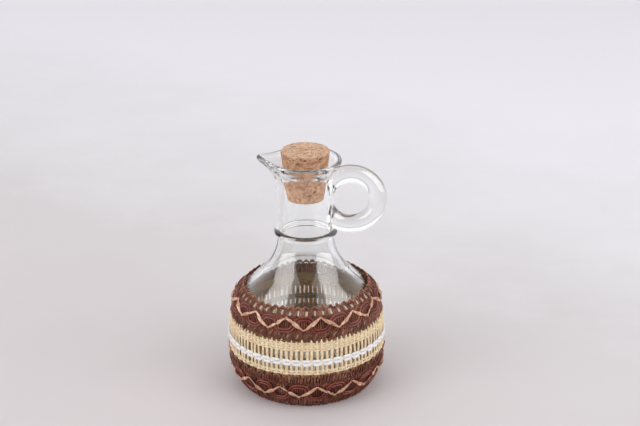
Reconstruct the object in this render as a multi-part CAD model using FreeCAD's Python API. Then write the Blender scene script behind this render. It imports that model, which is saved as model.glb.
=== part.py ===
"""Small glass cruet with a pouring lip, a ring handle and a tapered cork, in a sleeve of woven trims.

Millimetres, +Z up. The origin is the middle of the glass foot, on the surface that the cruet stands on.
The handle points along +X and the pouring lip along -X.

The glass below the neck follows one chain of tangent arcs, and every layer of the sleeve is an offset of it.
An angle along the chain is the lean of the wall from the upright: 90 under the foot, 0 at the belly, and
growing again towards the shoulder.
"""
import FreeCAD, Part

import math
import os

from FreeCAD import Vector

# --- glass body -------------------------------------------------------------------------------------------
BODY_RADIUS = 41.8          # outside of the glass at the belly
FOOT_ARC = 7.0              # radius of the tight arc beside the foot
HEEL_ARC = 35.0             # radius of the long arc from there up to the belly
HEEL_LEAN = 30.0            # lean where those two arcs meet, degrees
BELLY_HEIGHT = 6.0          # straight part of the belly
UPPER_ARC = 110.0           # radius of the slow arc above the belly
UPPER_LEAN = 11.5           # lean where the shoulder corner starts
CORNER_ARC = 9.5            # radius of the shoulder corner
SHOULDER_LEAN = 46.0        # lean of the straight shoulder
NECK_ARC = 30.0             # hollow arc from the shoulder into the neck
WALL = 3.0                  # glass thickness below the neck
BASE_THICKNESS = 5.0        # glass thickness at the foot

# --- neck, collar ring and lip ----------------------------------------------------------------------------
NECK_RADIUS = 15.2          # outside of the neck where the shoulder runs into it
NECK_LENGTH = 41.7          # from the end of the shoulder to the widest line of the lip
NECK_WAIST = 0.5            # how much slimmer the neck is just above the collar
COLLAR_ROUND = 1.8          # radius of the rounded ring that circles the foot of the neck
COLLAR_RISE = 1.5           # height of that ring's middle above the end of the shoulder
NECK_DROP = 1.2             # how far the neck tube reaches down into the collar
THROAT_RADIUS = 11.35       # narrowest bore, where the cork seats
THROAT_DEPTH = 9.0          # throat below the widest line of the lip
BORE_STEP = 0.4             # the neck tube's bore is this much wider than the body's bore below it
LIP_RADIUS = 19.8           # outside of the round part of the lip
LIP_THICKNESS = 2.8         # glass thickness of the lip
SPOUT_REACH = 26.9          # from the axis to the point of the pouring lip
SPOUT_TIP_RADIUS = 3.2      # rounding of that point, seen from above
SPOUT_RISE = 2.4            # how much the point stands above the rest of the lip
ROUND_POINTS = 48           # control points round the neck tube

# --- handle -----------------------------------------------------------------------------------------------
HANDLE_RADIUS = 14.6        # radius of the ring's centre line
HANDLE_THICKNESS = 10.0     # diameter of the glass rod
HANDLE_GAP = 9.3            # from the neck to the centre of the ring
HANDLE_BELOW_LIP = 22.0     # centre of the ring below the widest line of the lip

# --- cork -------------------------------------------------------------------------------------------------
CORK_ABOVE = 15.2           # from the throat up to the cork's top
CORK_BELOW = 13.2           # from the throat down to its bottom
CORK_TAPER = 0.1127         # growth of its radius for each millimetre of height
CORK_FIT = 0.06             # clearance between cork and throat
CORK_EDGE = 0.5             # chamfer of the cork's two rims

# --- sleeve -----------------------------------------------------------------------------------------------
SLEEVE_CLEARANCE = 0.15     # between the glass and the sleeve
LAYER_CLEARANCE = 0.12      # between pieces of the sleeve that lie on each other or side by side
CREAM_THICKNESS = 1.0
CREAM_BOTTOM = 22.0         # height of its lower edge
CREAM_HEIGHT = 19.6
SLOT_COUNT = 96             # slots in each row of the cream band
SLOT_SHARE = 0.4            # width of a slot as a share of the spacing
LOWER_SLOTS = (0.15, 0.33)  # height range of the lower row of slots, as shares of the band's height
UPPER_SLOTS = (0.515, 0.74)
CHAIN_SHARE = 0.215         # height of the white chain over the bars between the rows, as such a share
CHAIN_THICKNESS = 0.45
CHAIN_LINKS = 48
BRAID_THICKNESS = 0.55      # brown braid above and below the cream band
LOWER_BRAID_BOTTOM = 0.45   # height of its lower edge
UPPER_BRAID_HEIGHT = 16.8   # above the cream band
EYELET_COUNT = 47           # open loops along the top edge of the upper braid
EYELET_WIDTH = 2.9
EYELET_LENGTH = 4.4
EYELET_EDGE = 0.9           # braid left above an eyelet
WAVE_COUNT = 13             # waves of ribbon and cord round each braid
UPPER_WAVE = (0.605, 0.155) # middle and half height of its wave, as shares of the braid's height
LOWER_WAVE = (0.545, 0.125)
UPPER_WAVE_TURN = 7.5       # turns the wave about the axis, degrees
LOWER_WAVE_TURN = 4.8
RIBBON_WIDTH = 1.9
RIBBON_THICKNESS = 0.4
CORD_WIDTH = 1.9            # flat cord with two ribs
CORD_THICKNESS = 0.7
WAVE_POINTS = 12            # control points along each wave


def rise_of(lean):
    """Cosine and sine of a lean in degrees."""
    return math.cos(math.radians(lean)), math.sin(math.radians(lean))


def body_chain(offset, lift=0.0):
    """The glass outline moved outwards by offset, as tangent arcs from the foot to the neck.

    Each item is (side, centre, radius, first lean, last lean); side is -1 for an arc that bends the other
    way. lift raises the arcs below the belly, which makes the base thicker."""
    heel_cos, heel_sin = rise_of(HEEL_LEAN)
    upper_cos, upper_sin = rise_of(UPPER_LEAN)
    shoulder_cos, shoulder_sin = rise_of(SHOULDER_LEAN)
    heel = (BODY_RADIUS - HEEL_ARC, HEEL_ARC * heel_sin + FOOT_ARC * (1 - heel_sin))
    foot = (heel[0] + (HEEL_ARC - FOOT_ARC) * heel_cos, FOOT_ARC)
    upper = (BODY_RADIUS - UPPER_ARC, heel[1] + BELLY_HEIGHT)
    swing = UPPER_ARC - CORNER_ARC
    corner = (upper[0] + swing * upper_cos, upper[1] + swing * upper_sin)
    corner_end = (corner[0] + CORNER_ARC * shoulder_cos, corner[1] + CORNER_ARC * shoulder_sin)
    neck_start = NECK_RADIUS + NECK_ARC * (1 - shoulder_cos)
    straight = (corner_end[0] - neck_start) * shoulder_cos / shoulder_sin
    neck = (NECK_RADIUS + NECK_ARC, corner_end[1] + straight + NECK_ARC * shoulder_sin)
    return [
        (1, (foot[0], foot[1] + lift), FOOT_ARC + offset, -90.0, -HEEL_LEAN),
        (1, (heel[0], heel[1] + lift), HEEL_ARC + offset, -HEEL_LEAN, 0.0),
        (1, upper, UPPER_ARC + offset, 0.0, UPPER_LEAN),
        (1, corner, CORNER_ARC + offset, UPPER_LEAN, SHOULDER_LEAN),
        (-1, neck, NECK_ARC - offset, SHOULDER_LEAN, 0.0),
    ]


def chain_point(item, lean):
    """The point of a chain item at this lean, as (radius, height)."""
    side, centre, radius = item[:3]
    cos, sin = rise_of(lean)
    return centre[0] + side * radius * cos, centre[1] + side * radius * sin


NECK_START = body_chain(0.0)[-1][1][1]      # height where the shoulder ends and the neck stands upright
LIP_HEIGHT = NECK_START + NECK_LENGTH
COLLAR_HEIGHT = NECK_START + COLLAR_RISE
THROAT_HEIGHT = LIP_HEIGHT - THROAT_DEPTH
BORE_RADIUS = NECK_RADIUS - WALL
CREAM_TOP = CREAM_BOTTOM + CREAM_HEIGHT
UPPER_BRAID_TOP = CREAM_TOP + UPPER_BRAID_HEIGHT


def flat(point):
    """A point of an outline, given as radius and height, in the XZ plane."""
    return Vector(point[0], 0, point[1])


def outline_edges(offset, lift=0.0):
    """The chain as joined edges, with the straight stretches filled in."""
    edges = []
    last = None
    for item in body_chain(offset, lift):
        first = chain_point(item, item[3])
        middle = chain_point(item, (item[3] + item[4]) / 2)
        end = chain_point(item, item[4])
        if last and math.dist(last, first) > 1e-6:
            edges.append(Part.makeLine(flat(last), flat(first)))
        edges.append(Part.Arc(flat(first), flat(middle), flat(end)).toShape())
        last = end
    return edges


def lines(points):
    """Straight edges through these outline points."""
    return [Part.makeLine(flat(a), flat(b)) for a, b in zip(points, points[1:])]


def revolve(edges):
    """The solid that a closed chain of edges in the XZ plane sweeps round Z."""
    return Part.Face(Part.Wire(edges)).revolve(Vector(0, 0, 0), Vector(0, 0, 1), 360)


def under_outline(offset, lift, top):
    """A solid of revolution under the offset outline, with an upright end that reaches up to top."""
    chain = body_chain(offset, lift)
    start = chain_point(chain[0], -90.0)
    end = chain_point(chain[-1], 0.0)
    closing = [end, (end[0], top), (0.0, top), (0.0, start[1]), start]
    return revolve(outline_edges(offset, lift) + lines(closing))


def spline_net(rows, closed_rows=False):
    """A smooth surface over rows of control points; every row is a closed loop.

    The rows run from one open end to the other, or join up in a ring when closed_rows is true. Two rows
    alone make a surface that is straight across."""
    across = len(rows)
    degree = 3 if across > 2 else 1
    around = len(rows[0])
    surface = Part.BSplineSurface()
    poles = [[row[i] for row in rows] for i in range(around)]
    around_knots = list(range(around + 1))
    around_mults = [1] * (around + 1)
    if closed_rows:
        across_knots = list(range(across + 1))
        across_mults = [1] * (across + 1)
    else:
        across_knots = list(range(across - degree + 1))
        across_mults = [degree + 1] + [1] * (across - degree - 1) + [degree + 1]
    surface.buildFromPolesMultsKnots(
        poles, around_mults, across_mults, around_knots, across_knots, True, closed_rows, 3, degree
    )
    return surface.toShape()


def outward(shell):
    """The solid inside this shell."""
    solid = Part.makeSolid(shell)
    if solid.Volume < 0:
        solid.reverse()
    return solid


def lip_loop(radius, reach, height, rise):
    """Control points round the neck: a circle that runs into a rounded point at -X and climbs to it."""
    tip = SPOUT_TIP_RADIUS * radius / LIP_RADIUS
    along = reach - tip
    pointed = reach > radius + 1e-3
    contact = math.acos((radius - tip) / along) if pointed else 0.0
    tip_edge = math.atan2(tip * math.sin(contact), along + tip * math.cos(contact))
    swell = 3 / (2 + math.cos(2 * math.pi / ROUND_POINTS))
    points = []
    for step in range(ROUND_POINTS):
        turn = 2 * math.pi * step / ROUND_POINTS
        off = abs(turn - math.pi)
        r = radius
        if pointed and off < tip_edge:
            r = along * math.cos(off) + math.sqrt(tip**2 - (along * math.sin(off)) ** 2)
        elif pointed and off < contact:
            r = radius / math.cos(contact - off)
        share = (r - radius) / (reach - radius) if pointed else 0.0
        points.append(Vector(swell * r * math.cos(turn), swell * r * math.sin(turn), height + rise * share))
    return points


def neck_loops():
    """The neck tube's loops, up the outside, over the lip and down the bore."""
    waist = NECK_RADIUS - NECK_WAIST
    flare = LIP_RADIUS - NECK_RADIUS
    stretch = SPOUT_REACH - LIP_RADIUS
    half = LIP_THICKNESS / 2
    bottom = COLLAR_HEIGHT - NECK_DROP
    tube = LIP_HEIGHT - bottom
    mouth = LIP_RADIUS - LIP_THICKNESS
    loops = []
    for share, radius in ((0.0, waist), (0.04, waist), (0.12, waist + 0.1), (0.3, waist + 0.4)):
        loops.append(lip_loop(radius, radius, bottom + share * tube, 0.0))
    for share, spread in ((0.48, 0.0), (0.62, 0.02), (0.73, 0.08), (0.81, 0.2), (0.88, 0.42), (0.94, 0.72)):
        radius = NECK_RADIUS + flare * spread
        loops.append(lip_loop(radius, radius + stretch * spread, bottom + share * tube, SPOUT_RISE * spread))
    for inset, up, spread in ((0.0, -0.4, 0.97), (0.0, 0.6, 1.0), (0.5, 1.15, 0.97), (1.3, 1.25, 0.93),
                              (2.0, 0.6, 0.88), (2.15, -0.5, 0.83)):
        radius = LIP_RADIUS - inset * half
        height = LIP_HEIGHT + up * half
        loops.append(lip_loop(radius, radius + stretch * spread, height, SPOUT_RISE * spread))
    for share, spread in ((0.25, 0.72), (0.45, 0.46), (0.65, 0.22), (0.85, 0.05), (1.0, 0.0), (1.25, 0.0)):
        radius = THROAT_RADIUS + (mouth - THROAT_RADIUS) * spread
        reach = radius + stretch * spread * 0.8
        loops.append(lip_loop(radius, reach, LIP_HEIGHT - THROAT_DEPTH * share, SPOUT_RISE * spread))
    foot = BORE_RADIUS + BORE_STEP
    for share in (0.3, 0.5, 0.75, 0.95, 1.0):
        radius = THROAT_RADIUS + (foot - THROAT_RADIUS) * share
        loops.append(lip_loop(radius, radius, THROAT_HEIGHT + (bottom - THROAT_HEIGHT) * share, 0.0))
    return loops


def neck_tube():
    """The neck with its flared lip and spout: one smooth skin, closed by a flat ring at the bottom."""
    skin = spline_net(neck_loops())
    rims = [edge for edge in skin.Edges if edge.BoundBox.ZLength < 1e-3]
    rims.sort(key=lambda edge: edge.BoundBox.XLength)
    ring = Part.Face([Part.Wire([rims[1]]), Part.Wire([rims[0]])])
    ring.validate()
    return outward(Part.makeShell([skin, ring]))


def handle():
    """The glass ring, trimmed in the middle of the neck's wall."""
    centre = Vector(NECK_RADIUS + HANDLE_GAP, 0, LIP_HEIGHT - HANDLE_BELOW_LIP)
    ring = Part.makeTorus(HANDLE_RADIUS, HANDLE_THICKNESS / 2, centre, Vector(0, 1, 0))
    middle = (NECK_RADIUS + THROAT_RADIUS) / 2
    points = [
        (middle, COLLAR_HEIGHT - 10),
        (middle, THROAT_HEIGHT),
        (LIP_RADIUS - LIP_THICKNESS * 0.9, LIP_HEIGHT - LIP_THICKNESS),
        (LIP_RADIUS - LIP_THICKNESS * 0.9, LIP_HEIGHT + 10),
        (0.0, LIP_HEIGHT + 10),
        (0.0, COLLAR_HEIGHT - 10),
    ]
    core = revolve(lines(points + points[:1]))
    return ring.cut(core)


def bottle():
    """The whole glass in one solid."""
    glass = under_outline(0.0, 0.0, COLLAR_HEIGHT)
    hollow = under_outline(-WALL, BASE_THICKNESS - WALL, COLLAR_HEIGHT + 1)
    collar_middle = NECK_RADIUS + 0.3
    collar = Part.makeTorus(collar_middle, COLLAR_ROUND, Vector(0, 0, COLLAR_HEIGHT))
    glass = glass.cut(hollow).fuse([collar]).fuse([neck_tube()])
    return glass.fuse([handle()])


def cork():
    """Tapered stopper that seats in the throat."""
    seat = THROAT_RADIUS - CORK_FIT
    low = THROAT_HEIGHT - CORK_BELOW
    high = THROAT_HEIGHT + CORK_ABOVE
    bottom_radius = seat - CORK_BELOW * CORK_TAPER
    top_radius = seat + CORK_ABOVE * CORK_TAPER
    points = [
        (0.0, low),
        (bottom_radius - CORK_EDGE, low),
        (bottom_radius + CORK_EDGE * CORK_TAPER, low + CORK_EDGE),
        (top_radius - CORK_EDGE * CORK_TAPER, high - CORK_EDGE),
        (top_radius - CORK_EDGE, high),
        (0.0, high),
        (0.0, low),
    ]
    return revolve(lines(points))


def band(inner, outer, low, high):
    """A ring of the sleeve between two offsets of the glass and two heights."""
    skin = under_outline(outer, 0.0, COLLAR_HEIGHT).cut(under_outline(inner, 0.0, COLLAR_HEIGHT + 1))
    slab = Part.makeCylinder(BODY_RADIUS + 20, high - low, Vector(0, 0, low))
    return skin.common(slab)


def share_height(low, height, share):
    """The height at this share of a band that starts at low."""
    return low + height * share


def cream_band():
    """Cream band with two rows of slots that leave upright bars."""
    inner = SLEEVE_CLEARANCE
    ring = band(inner, inner + CREAM_THICKNESS, CREAM_BOTTOM, CREAM_TOP)
    width = 2 * math.pi * BODY_RADIUS / SLOT_COUNT * SLOT_SHARE
    cutters = []
    for low, high in (LOWER_SLOTS, UPPER_SLOTS):
        foot = share_height(CREAM_BOTTOM, CREAM_HEIGHT, low)
        tall = CREAM_HEIGHT * (high - low)
        for step in range(SLOT_COUNT):
            cutter = Part.makeBox(12, width, tall, Vector(BODY_RADIUS - 6, -width / 2, foot))
            cutter.rotate(Vector(0, 0, 0), Vector(0, 0, 1), 360 / SLOT_COUNT * (step + 0.5))
            cutters.append(cutter)
    return ring.cut(cutters)


def glass_point(height, offset):
    """Radius of the offset outline at this height on the outer wall, and the lean of the wall there."""
    spots = []
    for item in body_chain(offset)[:4]:
        for step in range(9):
            lean = item[3] + (item[4] - item[3]) * step / 8
            spots.append(chain_point(item, lean) + (lean,))
    for a, b in zip(spots, spots[1:]):
        if a[1] <= height <= b[1] and b[1] > a[1]:
            share = (height - a[1]) / (b[1] - a[1])
            return a[0] + (b[0] - a[0]) * share, a[2] + (b[2] - a[2]) * share
    last = spots[-1]
    return last[0] - (height - last[1]) * math.tan(math.radians(last[2])), last[2]


def wave_frames(offset, middle, swing, turn, sharp):
    """Points round the sleeve on a wave about a middle height, each with the direction across and outwards.

    offset is measured from the glass. sharp from 0 to 1 straightens the wave towards a zigzag."""
    steps = WAVE_COUNT * WAVE_POINTS
    path = []
    for step in range(steps):
        phase = 2 * math.pi * step / WAVE_POINTS
        level = math.cos(phase) + sharp * 0.11 * math.cos(3 * phase)
        height = middle + swing * level
        radius, lean = glass_point(height, offset)
        angle = math.radians(turn - 90) + 2 * math.pi * step / steps
        out, up = rise_of(lean)
        spot = Vector(radius * math.cos(angle), radius * math.sin(angle), height)
        normal = Vector(out * math.cos(angle), out * math.sin(angle), up)
        path.append((spot, normal))
    frames = []
    for step in range(steps):
        spot, normal = path[step]
        along = path[(step + 1) % steps][0] - path[step - 1][0]
        frames.append((spot, normal.cross(along).normalize(), normal))
    return frames


def cord_ring(frames, width, thickness):
    """A closed cord of oval section along these frames."""
    swell = 1.15
    loops = []
    for spot, side, normal in frames:
        loop = []
        for corner in range(8):
            spin = 2 * math.pi * (corner + 0.5) / 8
            across = side * (math.cos(spin) * width / 2 * swell)
            through = normal * (math.sin(spin) * thickness / 2 * swell)
            loop.append(spot + across + through)
        loops.append(loop)
    return outward(Part.makeShell([spline_net(loops, True)]))


def ribbon_ring(frames, width, thickness):
    """A closed flat ribbon along these frames."""
    rows = []
    for across, through in ((1, 1), (-1, 1), (-1, -1), (1, -1)):
        rows.append([s + a * (across * width / 2) + n * (through * thickness / 2) for s, a, n in frames])
    faces = [spline_net([rows[side - 1], rows[side]]) for side in range(4)]
    skin = Part.makeCompound(faces)
    skin.sewShape()
    return outward(skin.Shells[0])


def white_chain():
    """White chain over the bars: a ring with a notch between the links at both edges."""
    inner = SLEEVE_CLEARANCE + CREAM_THICKNESS + LAYER_CLEARANCE
    middle = share_height(CREAM_BOTTOM, CREAM_HEIGHT, (LOWER_SLOTS[1] + UPPER_SLOTS[0]) / 2)
    half = CREAM_HEIGHT * CHAIN_SHARE / 2
    ring = band(inner, inner + CHAIN_THICKNESS, middle - half, middle + half)
    notches = []
    for step in range(CHAIN_LINKS):
        for level in (middle - half, middle + half):
            notch = Part.makeCylinder(0.5, 12, Vector(BODY_RADIUS - 6, 0, level), Vector(1, 0, 0))
            notch.rotate(Vector(0, 0, 0), Vector(0, 0, 1), 360 / CHAIN_LINKS * (step + 0.5))
            notches.append(notch)
    return ring.cut(notches)


def upper_braid():
    """Brown braid above the cream band, with a row of eyelets along its top edge."""
    inner = SLEEVE_CLEARANCE
    ring = band(inner, inner + BRAID_THICKNESS, CREAM_TOP + LAYER_CLEARANCE, UPPER_BRAID_TOP)
    level = UPPER_BRAID_TOP - EYELET_EDGE - EYELET_LENGTH * rise_of(SHOULDER_LEAN)[0] / 2
    radius, lean = glass_point(level, inner)
    out, up = rise_of(lean)
    cutters = []
    for step in range(EYELET_COUNT):
        shape = Part.makeCylinder(EYELET_WIDTH / 2, 8, Vector(0, 0, -4))
        stretch = FreeCAD.Matrix()
        stretch.A11 = EYELET_LENGTH / EYELET_WIDTH
        shape = shape.transformGeometry(stretch)
        shape.rotate(Vector(0, 0, 0), Vector(0, 1, 0), 90 - lean)
        shape.translate(Vector(radius, 0, level))
        shape.rotate(Vector(0, 0, 0), Vector(0, 0, 1), 360 / EYELET_COUNT * step)
        cutters.append(shape)
    return ring.cut(cutters)


def lower_braid():
    """Brown braid below the cream band, down to the foot."""
    inner = SLEEVE_CLEARANCE
    return band(inner, inner + BRAID_THICKNESS, LOWER_BRAID_BOTTOM, CREAM_BOTTOM - LAYER_CLEARANCE)


def trims(low, high, wave, turn):
    """The zigzag ribbon on a braid between two heights, and the rounded cord that crosses over it."""
    middle = share_height(low, high - low, wave[0])
    swing = (high - low) * wave[1]
    ground = SLEEVE_CLEARANCE + BRAID_THICKNESS + LAYER_CLEARANCE
    ribbon_middle = ground + RIBBON_THICKNESS / 2
    cord_middle = ground + RIBBON_THICKNESS + LAYER_CLEARANCE + CORD_THICKNESS / 2
    ribbon_path = wave_frames(ribbon_middle, middle, -swing, turn, 1.0)
    cord_path = wave_frames(cord_middle, middle, swing, turn, 0.0)
    ribbon = ribbon_ring(ribbon_path, RIBBON_WIDTH, RIBBON_THICKNESS)
    return ribbon, cord_ring(cord_path, CORD_WIDTH, CORD_THICKNESS)


def main():
    os.makedirs("parts", exist_ok=True)
    upper_ribbon, upper_cord = trims(CREAM_TOP, UPPER_BRAID_TOP, UPPER_WAVE, UPPER_WAVE_TURN)
    lower_ribbon, lower_cord = trims(LOWER_BRAID_BOTTOM, CREAM_BOTTOM, LOWER_WAVE, LOWER_WAVE_TURN)
    nodes = {
        "bottle": bottle(),
        "cork": cork(),
        "upper_braid": upper_braid(),
        "upper_ribbon": upper_ribbon,
        "upper_cord": upper_cord,
        "cream_band": cream_band(),
        "white_chain": white_chain(),
        "lower_braid": lower_braid(),
        "lower_ribbon": lower_ribbon,
        "lower_cord": lower_cord,
    }
    for name, shape in nodes.items():
        shape.exportStep(f"parts/{name}.step")
        state = "valid" if shape.isValid() else "not valid"
        print(name, state, "solids", len(shape.Solids), "mm3", round(shape.Volume))


main()
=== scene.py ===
"""A small glass cruet with a cork, in a sleeve of brown, cream and white woven trims.

The sleeve is real thread: every cord is a tube laid on the outline of the glass. A place on the sleeve is
(angle, run, lift): the angle round the axis, the way along the glass outline from the foot, and the height
above the glass. Lengths are in millimetres and become metres when a mesh is made.
"""
import math

import bpy
import numpy as np
from mathutils import Matrix, Vector

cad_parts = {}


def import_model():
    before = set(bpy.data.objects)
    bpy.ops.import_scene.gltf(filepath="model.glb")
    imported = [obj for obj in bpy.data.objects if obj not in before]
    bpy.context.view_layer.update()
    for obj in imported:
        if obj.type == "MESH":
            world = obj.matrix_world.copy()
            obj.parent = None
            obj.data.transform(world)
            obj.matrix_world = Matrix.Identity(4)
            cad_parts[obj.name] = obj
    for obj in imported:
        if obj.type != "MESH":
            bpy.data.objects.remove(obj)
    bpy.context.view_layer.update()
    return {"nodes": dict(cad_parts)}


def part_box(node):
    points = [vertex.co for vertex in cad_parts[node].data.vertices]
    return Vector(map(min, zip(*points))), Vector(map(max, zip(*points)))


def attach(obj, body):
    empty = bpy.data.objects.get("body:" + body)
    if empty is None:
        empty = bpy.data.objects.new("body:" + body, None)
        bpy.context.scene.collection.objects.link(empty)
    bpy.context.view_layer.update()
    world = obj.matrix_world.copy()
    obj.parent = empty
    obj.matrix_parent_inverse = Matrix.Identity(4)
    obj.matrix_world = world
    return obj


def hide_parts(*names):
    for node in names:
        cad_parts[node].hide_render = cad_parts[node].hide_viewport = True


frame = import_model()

MM = 0.001
TINY = 1e-9                 # added to a length before anything is divided by it
RNG = np.random.default_rng(7)      # every jitter draws from it, so the order of the pieces counts

# --- glass outline, as in the model -----------------------------------------------------------------------
CREAM_SWELL = 1.15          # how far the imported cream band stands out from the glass
BODY_RADIUS = -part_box("cream_band")[0][1] / MM - CREAM_SWELL
FOOT_ARC = 7.0              # radius of the tight arc beside the foot
HEEL_ARC = 35.0             # radius of the long arc from there up to the belly
HEEL_LEAN = 30.0            # lean where those two arcs meet, degrees
BELLY_HEIGHT = 6.0          # straight part of the belly
UPPER_ARC = 110.0           # radius of the slow arc above the belly
UPPER_LEAN = 11.5           # lean where the shoulder corner starts
CORNER_ARC = 9.5            # radius of the shoulder corner
SHOULDER_LEAN = 46.0        # lean of the straight shoulder
SHOULDER_LENGTH = 17.0      # how far the straight shoulder is followed
OUTLINE_PARTS = 60          # steps along each of these stretches

# --- sleeve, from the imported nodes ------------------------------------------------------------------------
CREAM_LOW, CREAM_HIGH = (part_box("cream_band")[end][2] / MM for end in (0, 1))
CHAIN_LOW, CHAIN_HIGH = (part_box("white_chain")[end][2] / MM for end in (0, 1))
BRAID_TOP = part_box("upper_braid")[1][2] / MM
BRAID_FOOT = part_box("lower_braid")[0][2] / MM
CHAIN_MIDDLE = (CHAIN_LOW + CHAIN_HIGH) / 2
WAVES = 13                  # waves of cord and ribbon round each braid
EYELETS = 50                # loops along each edge of a braid
POSTS = 96                  # upright bars of the cream weave
UPPER_TURN = math.radians(-2.5)     # angle of the first wave on the upper braid
LOWER_TURN = math.radians(-6.3)     # and on the lower one
TILT = 0.0096               # the bands sit a little higher on the handle's side
TILT_GROWS = 20.0           # height over which that tilt grows from nothing


def outline():
    """Run, radius, height and lean along the outside of the glass, from the foot to the shoulder's end."""
    # (radius, first lean, last lean) of an arc, or (None, length, lean) of a straight stretch
    stretches = [
        (FOOT_ARC, -90.0, -HEEL_LEAN),
        (HEEL_ARC, -HEEL_LEAN, 0.0),
        (None, BELLY_HEIGHT, 0.0),
        (UPPER_ARC, 0.0, UPPER_LEAN),
        (CORNER_ARC, UPPER_LEAN, SHOULDER_LEAN),
        (None, SHOULDER_LENGTH, SHOULDER_LEAN),
    ]
    heel_radius = BODY_RADIUS - HEEL_ARC
    foot_radius = heel_radius + (HEEL_ARC - FOOT_ARC) * math.cos(math.radians(HEEL_LEAN))
    run, radius, height = [0.0], [foot_radius], [0.0]
    leans = [math.radians(-90.0)]
    for arc, first, last in stretches:
        for step in range(OUTLINE_PARTS):
            if arc is None:
                lean = math.radians(last)
                length = first / OUTLINE_PARTS
            else:
                span = math.radians(last - first) / OUTLINE_PARTS
                lean = math.radians(first) + span * (step + 0.5)
                length = arc * span
            run.append(run[-1] + length)
            radius.append(radius[-1] - math.sin(lean) * length)
            height.append(height[-1] + math.cos(lean) * length)
            leans.append(lean if arc is None else lean + span / 2)
    return tuple(np.array(row) for row in (run, radius, height, leans))


RUN, RADIUS, HEIGHT, LEAN = outline()


def run_at(height):
    """The run whose point of the glass lies at this height."""
    return float(np.interp(height, HEIGHT, RUN))


def radius_at(run):
    """The radius of the glass at this run."""
    return float(np.interp(run, RUN, RADIUS))


def place(angle, run, lift):
    """Points of the sleeve and their outward directions; angle 0 faces the camera's side, -Y."""
    angle, run, lift = np.broadcast_arrays(angle, run, lift)
    radius = np.interp(run, RUN, RADIUS)
    height = np.interp(run, RUN, HEIGHT)
    lean = np.interp(run, RUN, LEAN)
    away = np.stack([np.sin(angle), -np.cos(angle), np.zeros_like(angle)], -1)
    normal = away * np.cos(lean)[..., None]
    normal[..., 2] += np.sin(lean)
    point = away * radius[..., None]
    point[..., 2] += height
    point = point + normal * lift[..., None]
    point[..., 2] += TILT * point[..., 0] * np.clip(height / TILT_GROWS, 0.0, 1.0)
    return point, normal


class Threads:
    """Collects tubes and makes one mesh of them, with a UV map that follows each tube."""

    def __init__(self):
        self.points, self.quads, self.caps, self.uvs, self.cap_uvs = [], [], [], [], []
        self.count = 0

    def add(self, point, normal, width, thick, sides=6, closed=False, twist=0.0):
        """Adds tubes along rows of points: an array of shape (tubes, steps, 3) with normals to match.

        width is measured across the tube along the surface, and thick away from it. twist turns the section
        along the tube, in turns."""
        tubes, steps = point.shape[:2]
        if closed:
            tangent = np.roll(point, -1, 1) - np.roll(point, 1, 1)
        else:
            tangent = np.gradient(point, axis=1)
        tangent /= np.linalg.norm(tangent, axis=-1, keepdims=True) + TINY
        side = np.cross(normal, tangent)
        side /= np.linalg.norm(side, axis=-1, keepdims=True) + TINY
        up = np.cross(tangent, side)
        # sections: arrays of shape (tubes, steps, sides, 3)
        width = np.broadcast_to(width, (tubes, steps))[..., None, None]
        thick = np.broadcast_to(thick, (tubes, steps))[..., None, None]
        turn = np.broadcast_to(twist, (tubes, steps))[..., None] * 2 * np.pi
        spin = 2 * np.pi * np.arange(sides) / sides
        side, up = side[:, :, None], up[:, :, None]
        if np.any(turn):
            cosine, sine = np.cos(turn)[..., None], np.sin(turn)[..., None]
            side, up = side * cosine + up * sine, up * cosine - side * sine
        ring = point[:, :, None] + side * (np.cos(spin)[None, None, :, None] * width / 2)
        ring = ring + up * (np.sin(spin)[None, None, :, None] * thick / 2)
        base = self.count + np.arange(tubes * steps * sides).reshape(tubes, steps, sides)
        after = np.roll(base, -1, 1) if closed else base[:, 1:]
        before = base if closed else base[:, :-1]
        quads = np.stack([before, np.roll(before, -1, 2), np.roll(after, -1, 2), after], -1).reshape(-1, 4)
        # the UV map counts millimetres along the tube and turns round it
        gaps = np.linalg.norm(np.diff(point, axis=1, append=point[:, :1]), axis=-1)
        along = np.concatenate([np.zeros((tubes, 1)), np.cumsum(gaps, 1)], 1)
        spans = steps if closed else steps - 1
        u0 = np.broadcast_to(along[:, :spans, None], (tubes, spans, sides))
        u1 = np.broadcast_to(along[:, 1:spans + 1, None], (tubes, spans, sides))
        v0 = np.broadcast_to(np.arange(sides) / sides, (tubes, spans, sides))
        v1 = v0 + 1 / sides
        uv = np.stack([np.stack([u0, v0], -1), np.stack([u0, v1], -1), np.stack([u1, v1], -1),
                       np.stack([u1, v0], -1)], -2).reshape(-1, 2)
        self.points.append(ring.reshape(-1, 3))
        self.quads.append(quads)
        self.uvs.append(uv)
        if not closed:
            ends = np.concatenate([base[:, 0, ::-1], base[:, -1]], 0)
            self.caps.append(ends)
            self.cap_uvs.append(np.zeros((ends.size, 2)))
        self.count += tubes * steps * sides

    def make(self, name, material, replaces=(), slot=None):
        """Makes one object of all the tubes."""
        mesh = bpy.data.meshes.new(name)
        points = np.concatenate(self.points) * MM
        points[:, 2] = np.maximum(points[:, 2], 0.0)    # nothing sinks into the floor
        faces = self.quads + self.caps
        corners = np.concatenate([face.reshape(-1) for face in faces])
        sizes = np.concatenate([np.full(len(face), face.shape[1]) for face in faces])
        uv = np.concatenate(self.uvs + self.cap_uvs)
        mesh.vertices.add(len(points))
        mesh.vertices.foreach_set("co", points.ravel())
        mesh.loops.add(len(corners))
        mesh.loops.foreach_set("vertex_index", corners)
        mesh.polygons.add(len(sizes))
        mesh.polygons.foreach_set("loop_start", np.concatenate([[0], np.cumsum(sizes)[:-1]]))
        mesh.update(calc_edges=True)
        layer = mesh.uv_layers.new(name="thread")
        layer.data.foreach_set("uv", uv.ravel())
        mesh.polygons.foreach_set("use_smooth", np.ones(len(sizes), dtype=bool))
        mesh.validate()
        finish_piece(mesh, name, material, replaces)


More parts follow.
